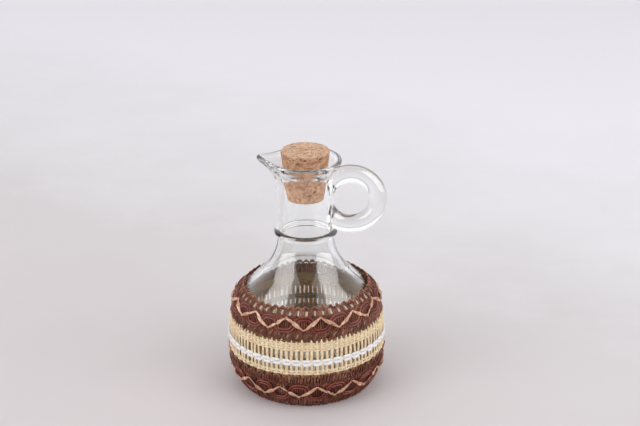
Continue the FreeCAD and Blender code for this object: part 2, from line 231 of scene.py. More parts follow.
def finish_piece(mesh, name, material, replaces):
    """Puts a mesh in the scene as a piece that rides on the one body."""
    piece = bpy.data.objects.new(name, mesh)
    bpy.context.scene.collection.objects.link(piece)
    mesh.materials.append(material)
    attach(piece, "root")
    if replaces:
        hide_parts(*replaces)


# --- materials --------------------------------------------------------------------------------------------
def srgb(red, green, blue):
    """Linear colour of a screen colour given from 0 to 255."""
    def linear(value):
        value /= 255
        return value / 12.92 if value <= 0.04045 else ((value + 0.055) / 1.055) ** 2.4
    return (linear(red), linear(green), linear(blue), 1.0)


class Nodes:
    """A short way to write a node tree."""

    def __init__(self, tree):
        self.tree = tree

    def add(self, kind, inputs=None, **settings):
        """A new node, with its inputs linked or set."""
        node = self.tree.nodes.new(kind)
        for key, value in settings.items():
            setattr(node, key, value)
        for key, value in (inputs or {}).items():
            self.put(node.inputs[key], value)
        return node

    def put(self, socket, value):
        """Links another socket to this one, or sets a constant."""
        if isinstance(value, bpy.types.NodeSocket):
            self.tree.links.new(value, socket)
        else:
            socket.default_value = value

    def math(self, operation, first, second=0.0, third=0.0):
        node = self.add("ShaderNodeMath", {0: first, 1: second, 2: third}, operation=operation)
        return node.outputs[0]

    def mix(self, factor, first, second, kind="RGBA"):
        node = self.add("ShaderNodeMix", {"Factor": factor, "A": first, "B": second}, data_type=kind)
        return node.outputs["Result"]

    def ramp(self, value, *stops):
        """A colour ramp; a stop is its position and a screen colour."""
        node = self.add("ShaderNodeValToRGB", {"Fac": value})
        elements = node.color_ramp.elements
        while len(elements) < len(stops):
            elements.new(0.5)
        for element, (position, colour) in zip(elements, stops):
            element.position = position
            element.color = srgb(*colour)
        return node.outputs["Color"]

    def noise(self, vector, scale, detail, roughness):
        node = self.add("ShaderNodeTexNoise", {"Vector": vector, "Scale": scale, "Detail": detail,
                                               "Roughness": roughness})
        return node.outputs["Fac"]

    def bump(self, height, strength, distance):
        node = self.add("ShaderNodeBump", {"Height": height, "Strength": strength, "Distance": distance})
        return node.outputs["Normal"]

    def object_point(self):
        return self.add("ShaderNodeTexCoord").outputs["Object"]


class Surface(Nodes):
    """A new material; set() writes the inputs of its Principled BSDF."""

    def __init__(self, name):
        self.material = bpy.data.materials.new(name)
        self.material.use_nodes = True
        super().__init__(self.material.node_tree)
        self.shader = self.tree.nodes["Principled BSDF"]

    def set(self, **values):
        for key, value in values.items():
            self.put(self.shader.inputs[key.replace("_", " ")], value)


def thread_material(name, dark, middle, light, edge, roughness, strands=2, pitch=0.8, gloss=0.3, bump=0.5,
                    tint=(1.0, 1.0, 1.0, 1.0), inside=None, soft=0.0):
    """Twisted thread: slanting plies, fibre noise, slow changes of tone, painted shade down its sides and a
    painted glow on its side that lies on the glass.

    The colours are screen colours, from dark to light; the ply pattern lays the darker ones in its hollows as
    painted shade and the lighter ones on its crests as painted highlight, over random tone. edge is the
    painted shade down its sides, and inside a painted glow on the side that lies on the glass, for light that
    comes through it. strands and pitch, in millimetres, make the twist. soft lets light spread through the
    thread."""
    nodes = Surface(name)
    uv = nodes.add("ShaderNodeUVMap", uv_map="thread").outputs["UV"]
    parts = nodes.add("ShaderNodeSeparateXYZ", {"Vector": uv}).outputs
    length, turn = parts["X"], parts["Y"]
    slant = nodes.math("ADD", nodes.math("MULTIPLY", length, 1 / pitch),
                       nodes.math("MULTIPLY", turn, strands))
    ply = nodes.math("ABSOLUTE", nodes.math("SINE", nodes.math("MULTIPLY", slant, math.pi)))
    spot = nodes.object_point()
    fibre = nodes.noise(spot, scale=2600.0, detail=2.0, roughness=0.7)
    patchy = nodes.noise(spot, scale=170.0, detail=3.0, roughness=0.6)
    tone = nodes.math("MULTIPLY_ADD", ply, 0.3, nodes.math("MULTIPLY", patchy, 0.7))
    tone = nodes.math("MULTIPLY_ADD", nodes.math("SUBTRACT", fibre, 0.5), 0.4, tone)
    colour = nodes.ramp(tone, (0.2, dark), (0.5, middle), (0.78, light))
    # painted light and shade: outward is 1 on the crest that faces away from the glass, where the ramp's
    # colours stay, and falls to the painted shade of edge down the sides; inward picks the painted glow of
    # inside where a side faces the glass
    facing = nodes.math("SINE", nodes.math("MULTIPLY", turn, 2 * math.pi))
    outward = nodes.math("MULTIPLY_ADD", facing, 0.75, 0.45)
    inward = nodes.math("MULTIPLY_ADD", outward, -2.0, 0.1)
    below = nodes.mix(inward, srgb(*edge), srgb(*(inside or edge)))
    height = nodes.math("MULTIPLY_ADD", fibre, 0.3, ply)
    nodes.set(Base_Color=nodes.mix(outward, below, colour), Roughness=roughness,
              Normal=nodes.bump(height, bump, 0.00012), Specular_IOR_Level=gloss, Specular_Tint=tint)
    if soft:
        nodes.set(Subsurface_Weight=soft, Subsurface_Radius=(1.0, 0.7, 0.4), Subsurface_Scale=0.002)
    return nodes.material


def satin_material():
    """Copper satin: fine streaks along the ribbon, coloured from painted shade to painted highlight as a
    painted sheen, and a soft sheen.
    """
    nodes = Surface("copper_satin")
    uv = nodes.add("ShaderNodeUVMap", uv_map="thread").outputs["UV"]
    stretched = nodes.add("ShaderNodeMapping", {"Vector": uv, "Scale": (0.25, 9.0, 1.0)}).outputs["Vector"]
    streak = nodes.noise(stretched, scale=2.4, detail=3.0, roughness=0.6)
    cloud = nodes.noise(nodes.object_point(), scale=420.0, detail=2.0, roughness=0.6)
    tone = nodes.math("MULTIPLY_ADD", streak, 0.55, nodes.math("MULTIPLY", cloud, 0.45))
    # painted sheen: the ramp runs from a shade colour to a highlight colour along the streaks
    colour = nodes.ramp(tone, (0.3, (150, 94, 68)), (0.5, (208, 154, 122)), (0.66, (250, 220, 190)))
    nodes.set(Base_Color=colour, Roughness=0.36, Normal=nodes.bump(streak, 0.5, 0.0002), Anisotropic=0.4,
              Sheen_Weight=0.15, Sheen_Roughness=0.3)
    return nodes.material


def glass_material():
    """Clear pressed glass with a faint unevenness."""
    nodes = Surface("pressed_glass")
    ripple = nodes.noise(nodes.object_point(), scale=55.0, detail=1.0, roughness=0.5)
    nodes.set(Base_Color=(0.985, 0.995, 0.99, 1.0), Roughness=0.0, IOR=1.5, Transmission_Weight=1.0,
              Normal=nodes.bump(ripple, 0.06, 0.002))
    return nodes.material


def cork_material():
    """Natural cork: tan grains with reddish ones between, fine dark specks and darker pits.

    The mesh's cork_marks say where a pit is, in red, and how steep the surface is, in green. The steep side
    takes a
    darker, redder ramp than the top: partly the cork's own side, partly painted shade for less light on it."""
    nodes = Surface("natural_cork")
    spot = nodes.object_point()
    marks = nodes.add("ShaderNodeAttribute", attribute_name="cork_marks").outputs["Color"]
    marks = nodes.add("ShaderNodeSeparateColor", {"Color": marks}).outputs
    grain = nodes.add("ShaderNodeTexVoronoi", {"Vector": spot, "Scale": 900.0}, feature="F1")
    grain_tone = nodes.add("ShaderNodeSeparateColor", {"Color": grain.outputs["Color"]}).outputs["Red"]
    cloud = nodes.noise(spot, scale=330.0, detail=5.0, roughness=0.7)
    tone = nodes.math("MULTIPLY_ADD", grain_tone, 0.34, nodes.math("MULTIPLY", cloud, 0.66))
    top = nodes.ramp(tone, (0.26, (172, 124, 94)), (0.44, (204, 164, 134)), (0.68, (226, 192, 162)))
    side = nodes.ramp(tone, (0.26, (150, 98, 68)), (0.45, (192, 144, 110)), (0.7, (218, 176, 142)))
    specks = nodes.add("ShaderNodeTexVoronoi", {"Vector": spot, "Scale": 620.0}, feature="F1")
    pick = nodes.add("ShaderNodeSeparateColor", {"Color": specks.outputs["Color"]}).outputs["Green"]
    near = nodes.math("LESS_THAN", specks.outputs["Distance"], nodes.math("MULTIPLY", pick, 0.3))
    chosen = nodes.math("MULTIPLY", near, nodes.math("GREATER_THAN", pick, 0.78))
    dark = nodes.math("MAXIMUM", nodes.math("MULTIPLY", chosen, 0.75), marks["Red"])
    # the side's darker ramp: partly the cork's own colour, partly painted shade
    colour = nodes.mix(dark, nodes.mix(marks["Green"], top, side), srgb(84, 44, 32))
    height = nodes.math("SUBTRACT", cloud, nodes.math("MULTIPLY", chosen, 0.5))
    nodes.set(Base_Color=colour, Roughness=0.85, Normal=nodes.bump(height, 0.3, 0.0003),
              Specular_IOR_Level=0.25)
    return nodes.material


def floor_material():
    """Pale paper floor with faint blotches, a little darker towards the camera and to the left: painted light
    and shade.
    """
    nodes = Surface("floor")
    spot = nodes.object_point()
    cloud = nodes.noise(spot, scale=9.0, detail=5.0, roughness=0.6)
    axes = nodes.add("ShaderNodeSeparateXYZ", {"Vector": spot}).outputs
    # painted light: lighter away from the camera and to the right
    way = nodes.math("MULTIPLY_ADD", axes["X"], 0.6, axes["Y"])
    way = nodes.math("MULTIPLY_ADD", way, 1.1, nodes.math("MULTIPLY", cloud, 0.3))
    colour = nodes.ramp(way, (0.08, (221, 213, 214)), (0.3, (225, 220, 221)), (0.46, (238, 235, 238)),
                        (0.75, (252, 250, 255)))
    nodes.set(Base_Color=colour, Roughness=0.8)
    return nodes.material


COPPER_SHINE = (1.0, 0.72, 0.6, 1.0)    # tint of the shine on brown threads
# painted shade down the sides of brown threads
BROWN_SIDE_SHADE = (28, 6, 3)
PAINTED_GLOW_TAN, PAINTED_GLOW_OLIVE = (255, 160, 66), (255, 168, 68)     # painted glow: golden sides that face the glass, for light that comes through it
GLASS = glass_material()
CORK = cork_material()
COPPER = satin_material()
BROWN = thread_material("brown_thread", (52, 17, 11), (104, 49, 36), (178, 112, 88), BROWN_SIDE_SHADE, 0.3,
                        pitch=0.9, gloss=0.4, tint=COPPER_SHINE)
# a lighter copy of the brown thread for the curls: painted highlight
CURL_HIGHLIGHT = thread_material("curl_highlight_thread", (72, 28, 18), (138, 76, 56), (214, 150, 118), BROWN_SIDE_SHADE, 0.3,
                       pitch=0.9, gloss=0.4, tint=COPPER_SHINE)
# near-black threads for the shade in a braid's gaps: painted shade, with a painted glow on their glass side
GAP_SHADE = thread_material("gap_shade_thread", (30, 9, 6), (52, 21, 14), (84, 42, 31), (16, 4, 2), 0.4,
                       pitch=0.9, tint=COPPER_SHINE, inside=(120, 66, 36))
RUST = thread_material("rust_thread", (84, 31, 22), (126, 58, 43), (172, 96, 74), (52, 5, 2), 0.32)
# near-black core in the soutache's groove: painted shade
GROOVE_SHADE = thread_material("soutache_groove_shade", (48, 6, 4), (74, 12, 8), (98, 30, 22), (34, 2, 1), 0.4)
TAN = thread_material("tan_backing_thread", (150, 106, 70), (192, 146, 104), (220, 180, 140),
                      (132, 84, 52), 0.6, inside=PAINTED_GLOW_TAN)
# pale threads behind open loops: painted glints of the glass
GLINT_PALE = thread_material("painted_glint_thread", (160, 130, 112), (206, 182, 164), (240, 226, 214), (150, 112, 84),
                       0.45, inside=PAINTED_GLOW_TAN)
OLIVE = thread_material("olive_thread", (112, 92, 58), (152, 130, 88), (184, 162, 118), (142, 120, 80),
                        0.6, inside=PAINTED_GLOW_OLIVE, soft=0.8)
CREAM = thread_material("cream_thread", (224, 196, 154), (243, 219, 179), (251, 234, 202), (170, 142, 92),
                        0.7, strands=0, pitch=3.7, bump=0.25, inside=PAINTED_GLOW_OLIVE)
WHITE = thread_material("white_thread", (238, 234, 231), (250, 248, 246), (255, 254, 252),
                        (206, 202, 200), 0.6, pitch=1.2)


# --- how the sleeve is laid and sewn ----------------------------------------------------------------------
def full_turn(steps):
    """Angles all the way round, as a row."""
    return 2 * np.pi * np.arange(steps)[None] / steps


def around(count, shift=0.0):
    """Evenly spread angles, as a column; shift is a share of the pitch."""
    return (2 * np.pi * (np.arange(count) + shift) / count)[:, None]


def jitter(count, amount):
    """A column of small random offsets with this standard deviation."""
    return RNG.normal(0.0, amount, count)[:, None]


def stray(angle, amount, seed):
    """Slow random drift round the sleeve; what has the same seed drifts together."""
    phases = np.random.default_rng(seed).uniform(0, 2 * np.pi, 4)
    waves = zip((2, 5, 9, 16), (0.5, 0.4, 0.35, 0.25), phases)
    return amount * sum(size * np.sin(turns * angle + phase) for turns, size, phase in waves)


def rope(threads, run, lift, radius, turns, width, thick, seed):
    """Two strands twisted round each other, in a ring round the sleeve at this run."""
    angle = full_turn(turns * 7)
    slow = stray(angle, 0.3, seed)
    for opposite in (0.0, np.pi):
        turn = turns * angle + opposite + run       # + run: no two ropes start their twist alike
        point, normal = place(angle, run + slow + radius * np.cos(turn), lift + radius * np.sin(turn))
        threads.add(point, normal, width, thick, closed=True)


def loops(threads, low, high, half_width, lift, cord, seed, slant=0.0, shift=0.0, spread=0.05):
    """A row of upright loops round the sleeve, one to an eyelet.

    slant leans them all over and spread each one by itself; shift is a share of the eyelets' pitch."""
    turn = full_turn(20)
    middle, half = (low + high) / 2, (high - low) / 2
    radius = radius_at(middle)
    centre = around(EYELETS, shift) + jitter(EYELETS, 0.25 / radius)
    tall = half * (1 + jitter(EYELETS, 0.06))
    wide = half_width * (1 + jitter(EYELETS, 0.09))
    up = np.cos(turn)
    run = middle + stray(centre, 0.35, seed) + jitter(EYELETS, 0.12) + tall * up
    across = wide * np.sin(turn) + (slant + jitter(EYELETS, spread)) * tall * up
    height = lift + 0.25 * np.sin(turn) ** 2 + jitter(EYELETS, 0.07)
    point, normal = place(centre + across / radius, run, height)
    threads.add(point, normal, cord, cord * 0.9, sides=5, closed=True)


def arches(threads, top, half_width, drop, lift, cord, seed, shift=0.0, slant=0.0):
    """A row of small arches of thicker cord, open below; sizes below nothing turn them over."""
    share = np.linspace(-1.0, 1.0, 11)[None]
    radius = radius_at(top)
    centre = around(EYELETS, shift) + jitter(EYELETS, 0.2 / radius)
    wide = half_width * (1 + jitter(EYELETS, 0.1))
    fall = drop * (1 + jitter(EYELETS, 0.12)) * np.abs(share) ** 2.2
    run = top + stray(centre, 0.35, seed) + jitter(EYELETS, 0.15) - fall
    across = wide * share - slant * fall
    height = lift + 0.35 * (1 - share ** 2) + jitter(EYELETS, 0.1)
    point, normal = place(centre + across / radius, run, height)
    threads.add(point, normal, cord, cord, sides=6)


def warp(threads, angles, low, high, lift, width, slant=0.0, spread=0.05, thick=None, bow=0.12, seed=1):
    """Upright fine threads between two runs.

    slant leans them all over, spread each one by itself, and bow lifts their middles off the glass."""
    count = len(angles)
    share = np.linspace(0.0, 1.0, 7)[None]
    length = high - low
    run = low + stray(angles, 0.25, seed) + jitter(count, 0.2) + share * (length + jitter(count, 0.25))
    lean = slant + jitter(count, spread)
    waver = 0.1 * np.sin(share * 9 + jitter(count, 2.0))
    across = lean * length * (share - 0.5) + waver
    angle = angles + across / radius_at((low + high) / 2)
    point, normal = place(angle, run, lift + bow * np.sin(np.pi * share) + jitter(count, 0.05))
    threads.add(point, normal, width, thick or width, sides=5)


# --- the sleeve's trims -----------------------------------------------------------------------------------
UPPER_DRIFT, LOWER_DRIFT = 3, 4     # seeds of the drift along a braid's upper edge, and of all below it
FRONT_THREADS = 200                 # upright threads across a braid's field
BACKING_THREADS = 210               # wider ones behind them, against the glass
EDGE_THREADS = 150                  # near-black ones behind the loops of a backed braid: painted shade
SOUTACHE_LIFT = 1.15                # the cords lie this high above the glass
RIBBON_LIFT = 1.6                   # and the ribbon over them this high


def braid(name, node, low, high, field, slant, hole, backed):
    """A gimp braid: a row of loops along each edge, joined by a field of upright threads.

    field holds the runs of its two ends, slant leans the lower loops over, and hole is half the width of the
    openings in the upper loops. A backed braid has tan threads, and near-black ones as painted shade, behind
    both of its edges. One that isn't backed lets the glass show in its upper loops, and has a pale thread
    behind each loop as a painted glint."""
    field_low, field_high = field
    front, curls, under, backing = Threads(), Threads(), Threads(), Threads()

    def between(*shares):
        """Angles near the middle between two loops; the shares of the pitch count from there."""
        return (around(EYELETS, 0.5) + 2 * np.pi / EYELETS * np.array(shares)).reshape(-1, 1)

    # upper row: a loop round each opening, a wider one round that, and a curl of cord that closes it above
    above = {"seed": UPPER_DRIFT}
    loops(front, high - 5.9, high - 1.3, hole + 0.22, lift=0.7, cord=0.5, **above)
    loops(front, high - 6.8, high - 0.7, (hole + 2.9) / 2, lift=0.8, cord=0.55, **above)
    # the curls take the lighter thread: painted highlight
    arches(curls, high - 0.1, 1.45, 1.5, lift=1.1, cord=0.85, **above)
    arches(front, high - 0.9, 0.75, 0.6, lift=1.2, cord=0.7, **above)
    warp(front, between(-0.07, 0.07), high - 6.5, high - 1.4, lift=0.85, width=0.45, **above)
    # lower row: three loops to an eyelet, pressed over to one side, and two curls below them
    pressed = {"slant": slant, "seed": LOWER_DRIFT}
    loops(front, low + 1.1, field_low + 1.0, 0.95, lift=0.8, cord=0.6, spread=0.06, **pressed)
    loops(front, low + 0.6, field_low + 1.4, 1.5, lift=0.8, cord=0.55, spread=0.06, **pressed)
    loops(front, low + 0.5, field_low + 0.6, 0.5, lift=0.8, cord=0.52, shift=0.5, **pressed)
    # on a backed braid these curls take the lighter thread: painted highlight
    arches(curls if backed else front, low + 0.5, -1.3, -1.1, lift=0.9, cord=0.7, **pressed)
    arches(front, low + 0.3, -0.8, -0.9, lift=0.95, cord=0.6, shift=0.5, **pressed)
    # the field, near-black threads behind it as painted shade, and two twisted cords along each of its ends
    warp(front, around(FRONT_THREADS), field_low - 0.3, field_high + 0.3, lift=0.8, width=0.66, thick=0.6,
         seed=LOWER_DRIFT)
    warp(under, around(FRONT_THREADS, 0.5), field_low - 0.5, field_high + 0.8, lift=0.45, width=0.9,
         thick=0.4, seed=LOWER_DRIFT)
    warp(under, between(-0.15, 0.15), low + 0.8, field_low, lift=0.35, width=0.55, spread=0.08, thick=0.35,
         **pressed)
    for run in (field_low - 0.3, field_low + 0.7, field_high - 0.5, field_high + 0.5):
        rope(front, run, lift=0.5, radius=0.2, turns=90, width=0.4, thick=0.36, seed=LOWER_DRIFT)
    # tan threads against the glass
    tan = {"spread": 0.04, "thick": 0.25, "bow": 0.0}
    warp(backing, around(BACKING_THREADS), field_low, field_high + 0.6, lift=0.15, width=1.1, **tan)
    warp(backing, between(-0.17, 0.0, 0.17), field_high, high - 1.2, lift=0.2, width=0.7, spread=0.04,
         thick=0.3, **above)
    if backed:
        for first, last in ((field_high, high - 0.8), (low + 0.9, field_low)):
            warp(backing, around(BACKING_THREADS), first, last, lift=0.2, width=1.15, slant=slant, **tan)
            warp(under, around(EDGE_THREADS), first, last, lift=0.45, width=0.8, slant=slant, spread=0.08,
                 thick=0.35)
    else:
        # pale threads behind the loops: painted glints where the glass shows
        pale = Threads()
        warp(pale, around(EYELETS), field_high, high - 2.0, lift=0.2, width=1.7, spread=0.12,
             thick=0.3, **above)
        warp(pale, around(EYELETS, 0.04), low + 1.2, field_low, lift=0.35, width=0.9, spread=0.3,
             thick=0.3, **pressed)
        pale.make(name + "_painted_glints", GLINT_PALE)
    front.make(name, BROWN, replaces=(node,), slot="brown_braid")
    curls.make(name + "_highlit_curls", CURL_HIGHLIGHT)
    under.make(name + "_shade_underlay", GAP_SHADE)
    backing.make(name + "_backing", TAN)


def soutache(name, node, turn, top, bottom, shear):
    """Two cords side by side in flattened arcs that pass under the ribbon's zigzag.

    shear leans the arcs over, by so many millimetres at their tops and feet."""
    flatness, offset = 2.3, 0.74        # offset is from the middle of the pair to each cord
    angle = full_turn(WAVES * 44)
    phase = WAVES * (angle - turn)
    flat = np.tanh(flatness * np.cos(phase)) / math.tanh(flatness)
    middle, swing = (top + bottom) / 2, (top - bottom) / 2
    run = middle + swing * flat * (1 + stray(angle, 0.07, 8)) + stray(angle, 0.4, 9)
    radius = radius_at(middle)
    way = angle * radius + shear * flat
    slope_run, slope_way = np.gradient(run[0]), np.gradient(way[0])
    length = np.hypot(slope_run, slope_way)
    off_run, off_way = slope_way / length, -slope_run / length
    cords = Threads()
    for side in (-offset, offset):
        point, normal = place((way + side * off_way) / radius, run + side * off_run,
                              SOUTACHE_LIFT + 0.25 * np.abs(flat))
        cords.add(point, normal, width=0.92, thick=1.1, sides=8, closed=True)
    cords.make(name, RUST, replaces=(node,), slot="rust_cord")
    # what fills the groove between the two, coloured near-black as painted shade
    core = Threads()
    point, normal = place(way / radius, run, SOUTACHE_LIFT - 0.15 + 0.2 * np.abs(flat))
    core.add(point, normal, width=1.0, thick=0.45, sides=8, closed=True)
    core.make(name + "_core", GROOVE_SHADE)


def ribbon(name, node, turn, top, bottom):
    """A satin ribbon in a zigzag, wide and flat along each leg and gathered where it turns."""
    threads = Threads()
    angle = full_turn(WAVES * 36)
    phase = WAVES * (angle - turn)
    saw = 2 / np.pi * np.arcsin(np.cos(phase) * 0.992)      # a zigzag with its points a little rounded
    leg = np.abs(np.sin(phase))                             # 1 halfway along a leg, 0 at a turn
    middle, swing = (top + bottom) / 2, (top - bottom) / 2
    run = middle - swing * saw * (1 + stray(angle, 0.1, 12)) + stray(angle, 0.45, 9)
    run = run + 0.13 * np.sin(phase * 3 + stray(angle, 3.0, 14))
    width = 0.75 + (1.35 + stray(angle * 6, 0.4, 15)) * leg ** 1.2
    twist = 0.09 * np.sin(phase * 2 + stray(angle, 3.0, 16))
    twist = twist + 0.06 * np.sin(phase * 5 + stray(angle, 4.0, 17))
    angle = angle + 0.25 * np.sin(phase * 2) * stray(angle, 1.0, 18) / radius_at(middle)
    point, normal = place(angle, run, RIBBON_LIFT + 0.5 * leg)
    threads.add(point, normal, width, thick=0.3, sides=10, closed=True, twist=twist * leg)
    # the stitch that gathers it at each turn
    share = np.linspace(-1.0, 1.0, 7)[None]
    for shift, level, out in ((0.0, bottom, -1), (0.5, top, 1)):
        knots = around(WAVES, shift) + turn
        run = level + stray(knots, 0.45, 9) + out * (0.3 - 0.75 * share ** 2)
        across = 0.75 * share + jitter(WAVES, 0.12)
        point, normal = place(knots + across / radius_at(level), run, RIBBON_LIFT + 0.3)
        threads.add(point, normal, width=0.55, thick=0.4, sides=6)
    threads.make(name, COPPER, replaces=(node,), slot="copper_ribbon")


def cream_weave():
    """Upright straw-like bars, bound by flat cords above and below, with dull threads behind them."""
    low, high = run_at(CREAM_LOW), run_at(CREAM_HIGH)
    middle = run_at(CHAIN_MIDDLE)
    bars = Threads()
    share = np.linspace(0.0, 1.0, 15)[None]
    centre = around(POSTS)
    side = np.where(np.arange(POSTS) % 2 == 0, 1.0, -1.0)[:, None]
    top = high + 0.7 + stray(centre, 0.4, 31) + jitter(POSTS, 0.4)
    run = low + 0.3 + share * (top - low - 0.3)
    # each bar leans a little by itself, the chain draws the bars together by pairs, and their tips taper
    pull = np.exp(-((run - middle) / 2.2) ** 2)
    across = side * 0.3 * pull + jitter(POSTS, 0.12) + jitter(POSTS, 0.4) * (share - 0.5)
    tip = np.clip((top - run) / 2.0, 0.0, 1.0)
    over_edge = np.clip((run - high + 3.0) / 2.0, 0.0, 1.0)
    lift = 0.75 - 0.2 * pull + 0.35 * over_edge + jitter(POSTS, 0.06)
    point, normal = place(centre + across / radius_at(middle), run, lift)
    width = 1.75 * (0.4 + 0.6 * tip) * (1 + jitter(POSTS, 0.06))
    bars.add(point, normal, width, thick=0.95, sides=7)
    # flat cords pass over and under the bars by turns, at these shares of the band's height
    turns = full_turn(POSTS * 6)
    for row, level in enumerate((0.04, 0.115, 0.745, 0.81, 0.875, 0.935)):
        over = np.cos(POSTS / 2 * turns + np.pi * row)
        row_run = low + (high - low) * level + stray(turns, 0.25, 32) + 0.08 * np.sin(POSTS / 2 * turns)
        point, normal = place(turns, row_run, 0.8 + 0.38 * over)
        bars.add(point, normal, width=1.3, thick=0.6, sides=8, closed=True)
    bars.make("cream_weave", CREAM, replaces=("cream_band",), slot="cream_weave")
    # the dull threads that show between the bars
    inner = Threads()
    gaps = (around(POSTS, 0.5) + 2 * np.pi / POSTS * np.array([-0.13, 0.13])).reshape(-1, 1)
    warp(inner, gaps, low + 0.5, high - 0.3, lift=0.25, width=0.42, spread=0.02, thick=0.35, bow=0.0)
    # rings that close the joints with the braids and lie behind the chain, at these distances from each
    rings = ((low, (-1.5, -0.4, 0.7)), (middle, (-1.3, 0.0, 1.3)), (high, (-0.4, 0.7, 1.8, 2.9, 4.0)))
    for level, distances in rings:
        for distance in distances:
            point, normal = place(turns, level + distance + stray(turns, 0.15, 33), 0.14)
            inner.add(point, normal, width=1.25, thick=0.22, sides=6, closed=True)
    inner.make("cream_weave_backing", OLIVE)


def chain():
    """White chain: two soft strands, spread over each pair of bars and drawn together between pairs."""
    threads = Threads()
    links = POSTS // 2
    angle = full_turn(links * 20)
    middle = run_at(CHAIN_MIDDLE - 0.5) + stray(angle, 0.18, 21)
    for strand in (-1, 1):
        phase = links * angle + 0.25 * strand + stray(angle, 0.25, 22)
        block = 0.5 + 0.5 * np.tanh(10.0 * (np.cos(phase) + 0.4))       # 1 on a link, 0 between two
        dimple = 0.2 * np.clip(np.cos(phase), 0.0, 1.0) ** 4
        run = middle + strand * (0.42 + 0.5 * block + dimple / 2)
        point, normal = place(angle, run, 0.95 + 0.45 * block)
        threads.add(point, normal, width=1.05 + 0.95 * block - dimple, thick=0.75 + 0.4 * block, sides=9,
                    closed=True)
    threads.make("white_chain_threads", WHITE, replaces=("white_chain",), slot="white_chain")


braid("upper_braid_threads", "upper_braid", run_at(CREAM_HIGH) + 0.2, run_at(BRAID_TOP - 0.9) + 0.1,
      field=(51.0, 59.2), slant=0.5, hole=1.4, backed=False)
braid("lower_braid_threads", "lower_braid", run_at(BRAID_FOOT + 0.5) + 0.2, run_at(CREAM_LOW) + 0.2,
      field=(10.2, 21.0), slant=0.1, hole=0.6, backed=True)
soutache("upper_soutache", "upper_cord", UPPER_TURN, top=58.2, bottom=52.2, shear=0.8)
soutache("lower_soutache", "lower_cord", LOWER_TURN, top=19.9, bottom=11.7, shear=0.6)
ribbon("upper_satin_ribbon", "upper_ribbon", UPPER_TURN, top=58.4, bottom=53.0)
ribbon("lower_satin_ribbon", "lower_ribbon", LOWER_TURN, top=19.6, bottom=13.1)
cream_weave()
chain()


# --- glass and cork ---------------------------------------------------------------------------------------
CORK_SHORTER = 1.4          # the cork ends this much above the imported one's foot
CORK_THROAT = 120.2         # height where the glass grips it
CORK_RADII = (9.5, 11.38, 13.3)     # at its foot, in the throat and at its top
CORK_WORN = 0.7             # rounding of its two rims
CORK_STEPS = 260            # points round it
CORK_PITS = 130


def repaint(node, material):
    """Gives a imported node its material."""
    for slot in frame["nodes"][node].material_slots:
        slot.material = material


def bumps(point, scale, seed):
    """Smooth random relief between -1 and 1, made of waves in random directions."""
    waves = 14
    rng = np.random.default_rng(seed)
    way = rng.normal(size=(waves, 3))
    way *= rng.uniform(0.6, 1.6, (waves, 1)) / scale / np.linalg.norm(way, axis=1, keepdims=True)
    phase = rng.uniform(0, 2 * np.pi, waves)
    return np.sin(point @ way.T * 2 * np.pi + phase).sum(-1) / math.sqrt(waves * 2)


